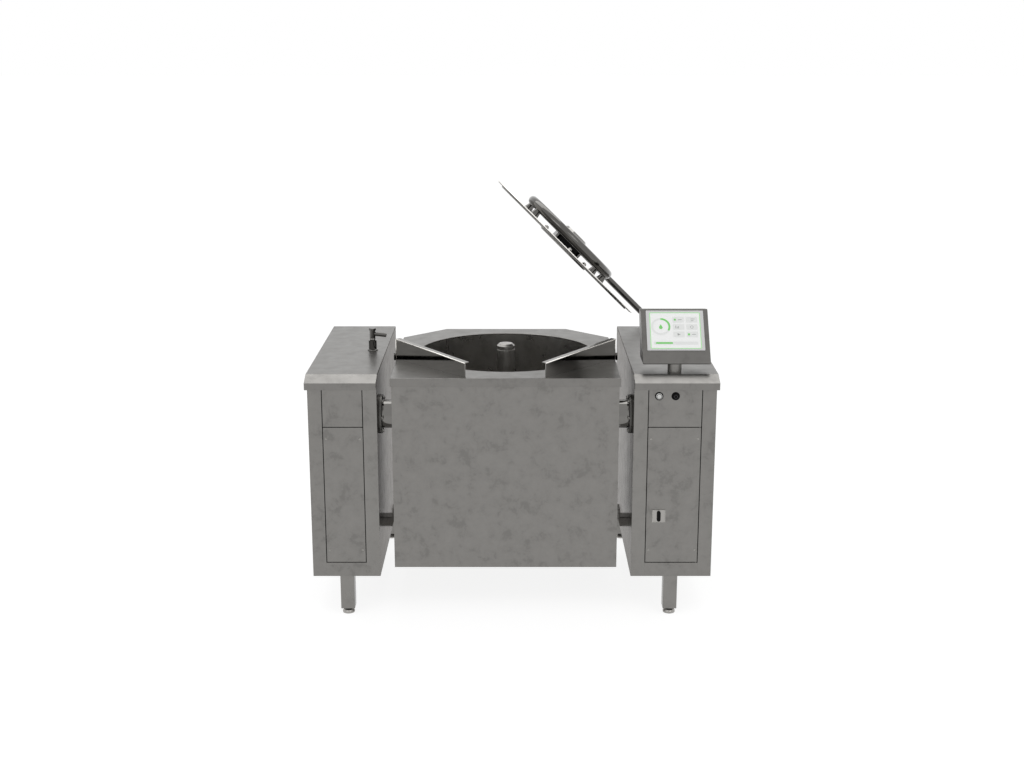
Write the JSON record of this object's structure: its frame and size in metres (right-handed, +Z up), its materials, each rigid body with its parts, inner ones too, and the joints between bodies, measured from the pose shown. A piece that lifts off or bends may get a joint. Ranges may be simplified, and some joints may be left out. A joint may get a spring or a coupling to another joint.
{
  "type": "steam jacketed kettle",
  "caption": "Tilting steam jacketed kettle with built-in mixer and hinged lid, hung between two stainless columns with a water tap and a touch display.",
  "frame": {"origin": "on the floor, at the middle of the overall width and depth", "axes": "+X to the right seen from the operator, +Y from the operator to the back, +Z up"},
  "size_m": [1.472, 0.9796, 1.547],
  "materials": {
    "brushed_steel": "brushed stainless steel with faint clouding",
    "polished_steel": "polished stainless steel",
    "jacket_steel": "mill finish stainless steel",
    "dark_steel": "darker brushed stainless steel",
    "foot_steel": "turned stainless steel",
    "drive_paint": "grey painted cast housing",
    "cabinet_paint": "light grey painted sheet",
    "black_plastic": "matt black plastic",
    "light_plastic": "translucent white plastic",
    "scraper_plastic": "natural white plastic",
    "screen": "glossy touch screen"
  },
  "bodies": {
    "base": {"left_column_outer_side": "brushed_steel", "left_column_inner_side": "brushed_steel", "left_column_floor": "brushed_steel", "left_column_cover": "brushed_steel", "right_column_outer_side": "brushed_steel", "right_column_inner_side": "brushed_steel", "right_column_floor": "brushed_steel", "right_column_cover": "brushed_steel", "left_upper_panel": "brushed_steel", "left_lower_panel": "brushed_steel", "left_panel_fasteners": "polished_steel", "control_panel": "brushed_steel", "legs": "brushed_steel", "leveling_feet": "foot_steel", "tie_beam": "brushed_steel", "bearing_flanges": "dark_steel", "flange_bolts": "polished_steel", "tilt_gearmotor": "drive_paint", "button_bezels": "brushed_steel", "control_cabinet": "cabinet_paint", "display_post": "brushed_steel", "display_housing": "dark_steel", "display_screen": "screen", "tap_post": "polished_steel", "lid_hinge_bracket": "brushed_steel", "pipe_stubs": "polished_steel", "cable_gland": "black_plastic"},
    "kettle": {"kettle_front_panel": "brushed_steel", "kettle_left_side": "brushed_steel", "kettle_right_side": "brushed_steel", "kettle_back": "brushed_steel", "kettle_floor": "brushed_steel", "kettle_top_plate": "brushed_steel", "vessel": "brushed_steel", "steam_jacket": "jacket_steel", "mixer_gearmotor": "drive_paint", "left_splash_guard": "polished_steel", "right_splash_guard": "polished_steel", "left_trunnion": "polished_steel", "right_trunnion": "polished_steel"},
    "mixer": {"mixer_post": "polished_steel", "mixing_arm": "brushed_steel", "scrapers": "scraper_plastic"},
    "lid_shaft": {"lid_hinge_shaft": "polished_steel"},
    "lid": {"lid_disc": "brushed_steel", "lid_pan": "brushed_steel", "lid_seal": "black_plastic", "hub_plate": "brushed_steel", "hub_nuts": "polished_steel", "hub_cover": "black_plastic", "hub_cap": "polished_steel", "lid_carrier": "polished_steel"},
    "door": {"control_door": "brushed_steel", "door_fasteners": "polished_steel", "latch_plate": "polished_steel"},
    "latch": {"latch_wing": "black_plastic"},
    "start_button": {"start_button": "light_plastic"},
    "stop_button": {"stop_button": "black_plastic"},
    "tap": {"tap_head": "polished_steel"}
  },
  "joints": [
    {"name": "kettle_tilt", "type": "hinge", "parent": "base", "child": "kettle", "pos_m": [-0.0235, -0.33376, 0.726], "axis": [1, 0, 0], "range_deg": [0, 90]},
    {"name": "mixer_turn", "type": "hinge", "parent": "kettle", "child": "mixer", "pos_m": [-0.0235, -0.04676, 0.37], "axis": [0, 0, 1], "continuous": true},
    {"name": "lid_lift", "type": "hinge", "parent": "base", "child": "lid_shaft", "pos_m": [0.5124, 0.45919, 0.8264], "axis": [-0.1149, 0.9934, 0], "range_deg": [0, 50]},
    {"name": "lid_swing", "type": "hinge", "parent": "lid_shaft", "child": "lid", "pos_m": [0.5124, 0.45919, 0.8264], "axis": [-0.1149, 0.9934, 0], "range_deg": [-45, 0]},
    {"name": "door_hinge", "type": "hinge", "parent": "base", "child": "door", "pos_m": [0.6705, -0.47576, 0.45875], "axis": [0, 0, 1], "range_deg": [0, 95]},
    {"name": "latch_turn", "type": "hinge", "parent": "door", "child": "latch", "pos_m": [0.531, -0.48076, 0.382], "axis": [0, 1, 0], "range_deg": [-90, 0]},
    {"name": "start_press", "type": "slide", "parent": "base", "child": "start_button", "axis": [0, 1, 0], "range_m": [0, 0.004], "stiffness_N_per_m": 600, "springref_m": -0.001},
    {"name": "stop_press", "type": "slide", "parent": "base", "child": "stop_button", "axis": [0, 1, 0], "range_m": [0, 0.004], "stiffness_N_per_m": 600, "springref_m": -0.001},
    {"name": "tap_swivel", "type": "hinge", "parent": "base", "child": "tap", "pos_m": [-0.533, -0.04376, 0.939], "axis": [0, 0, 1], "range_deg": [-90, 90]}
  ],
  "couplings": [
    {"joint": "lid_lift", "follows": "kettle_tilt", "ratio": 0.55}
  ]
}
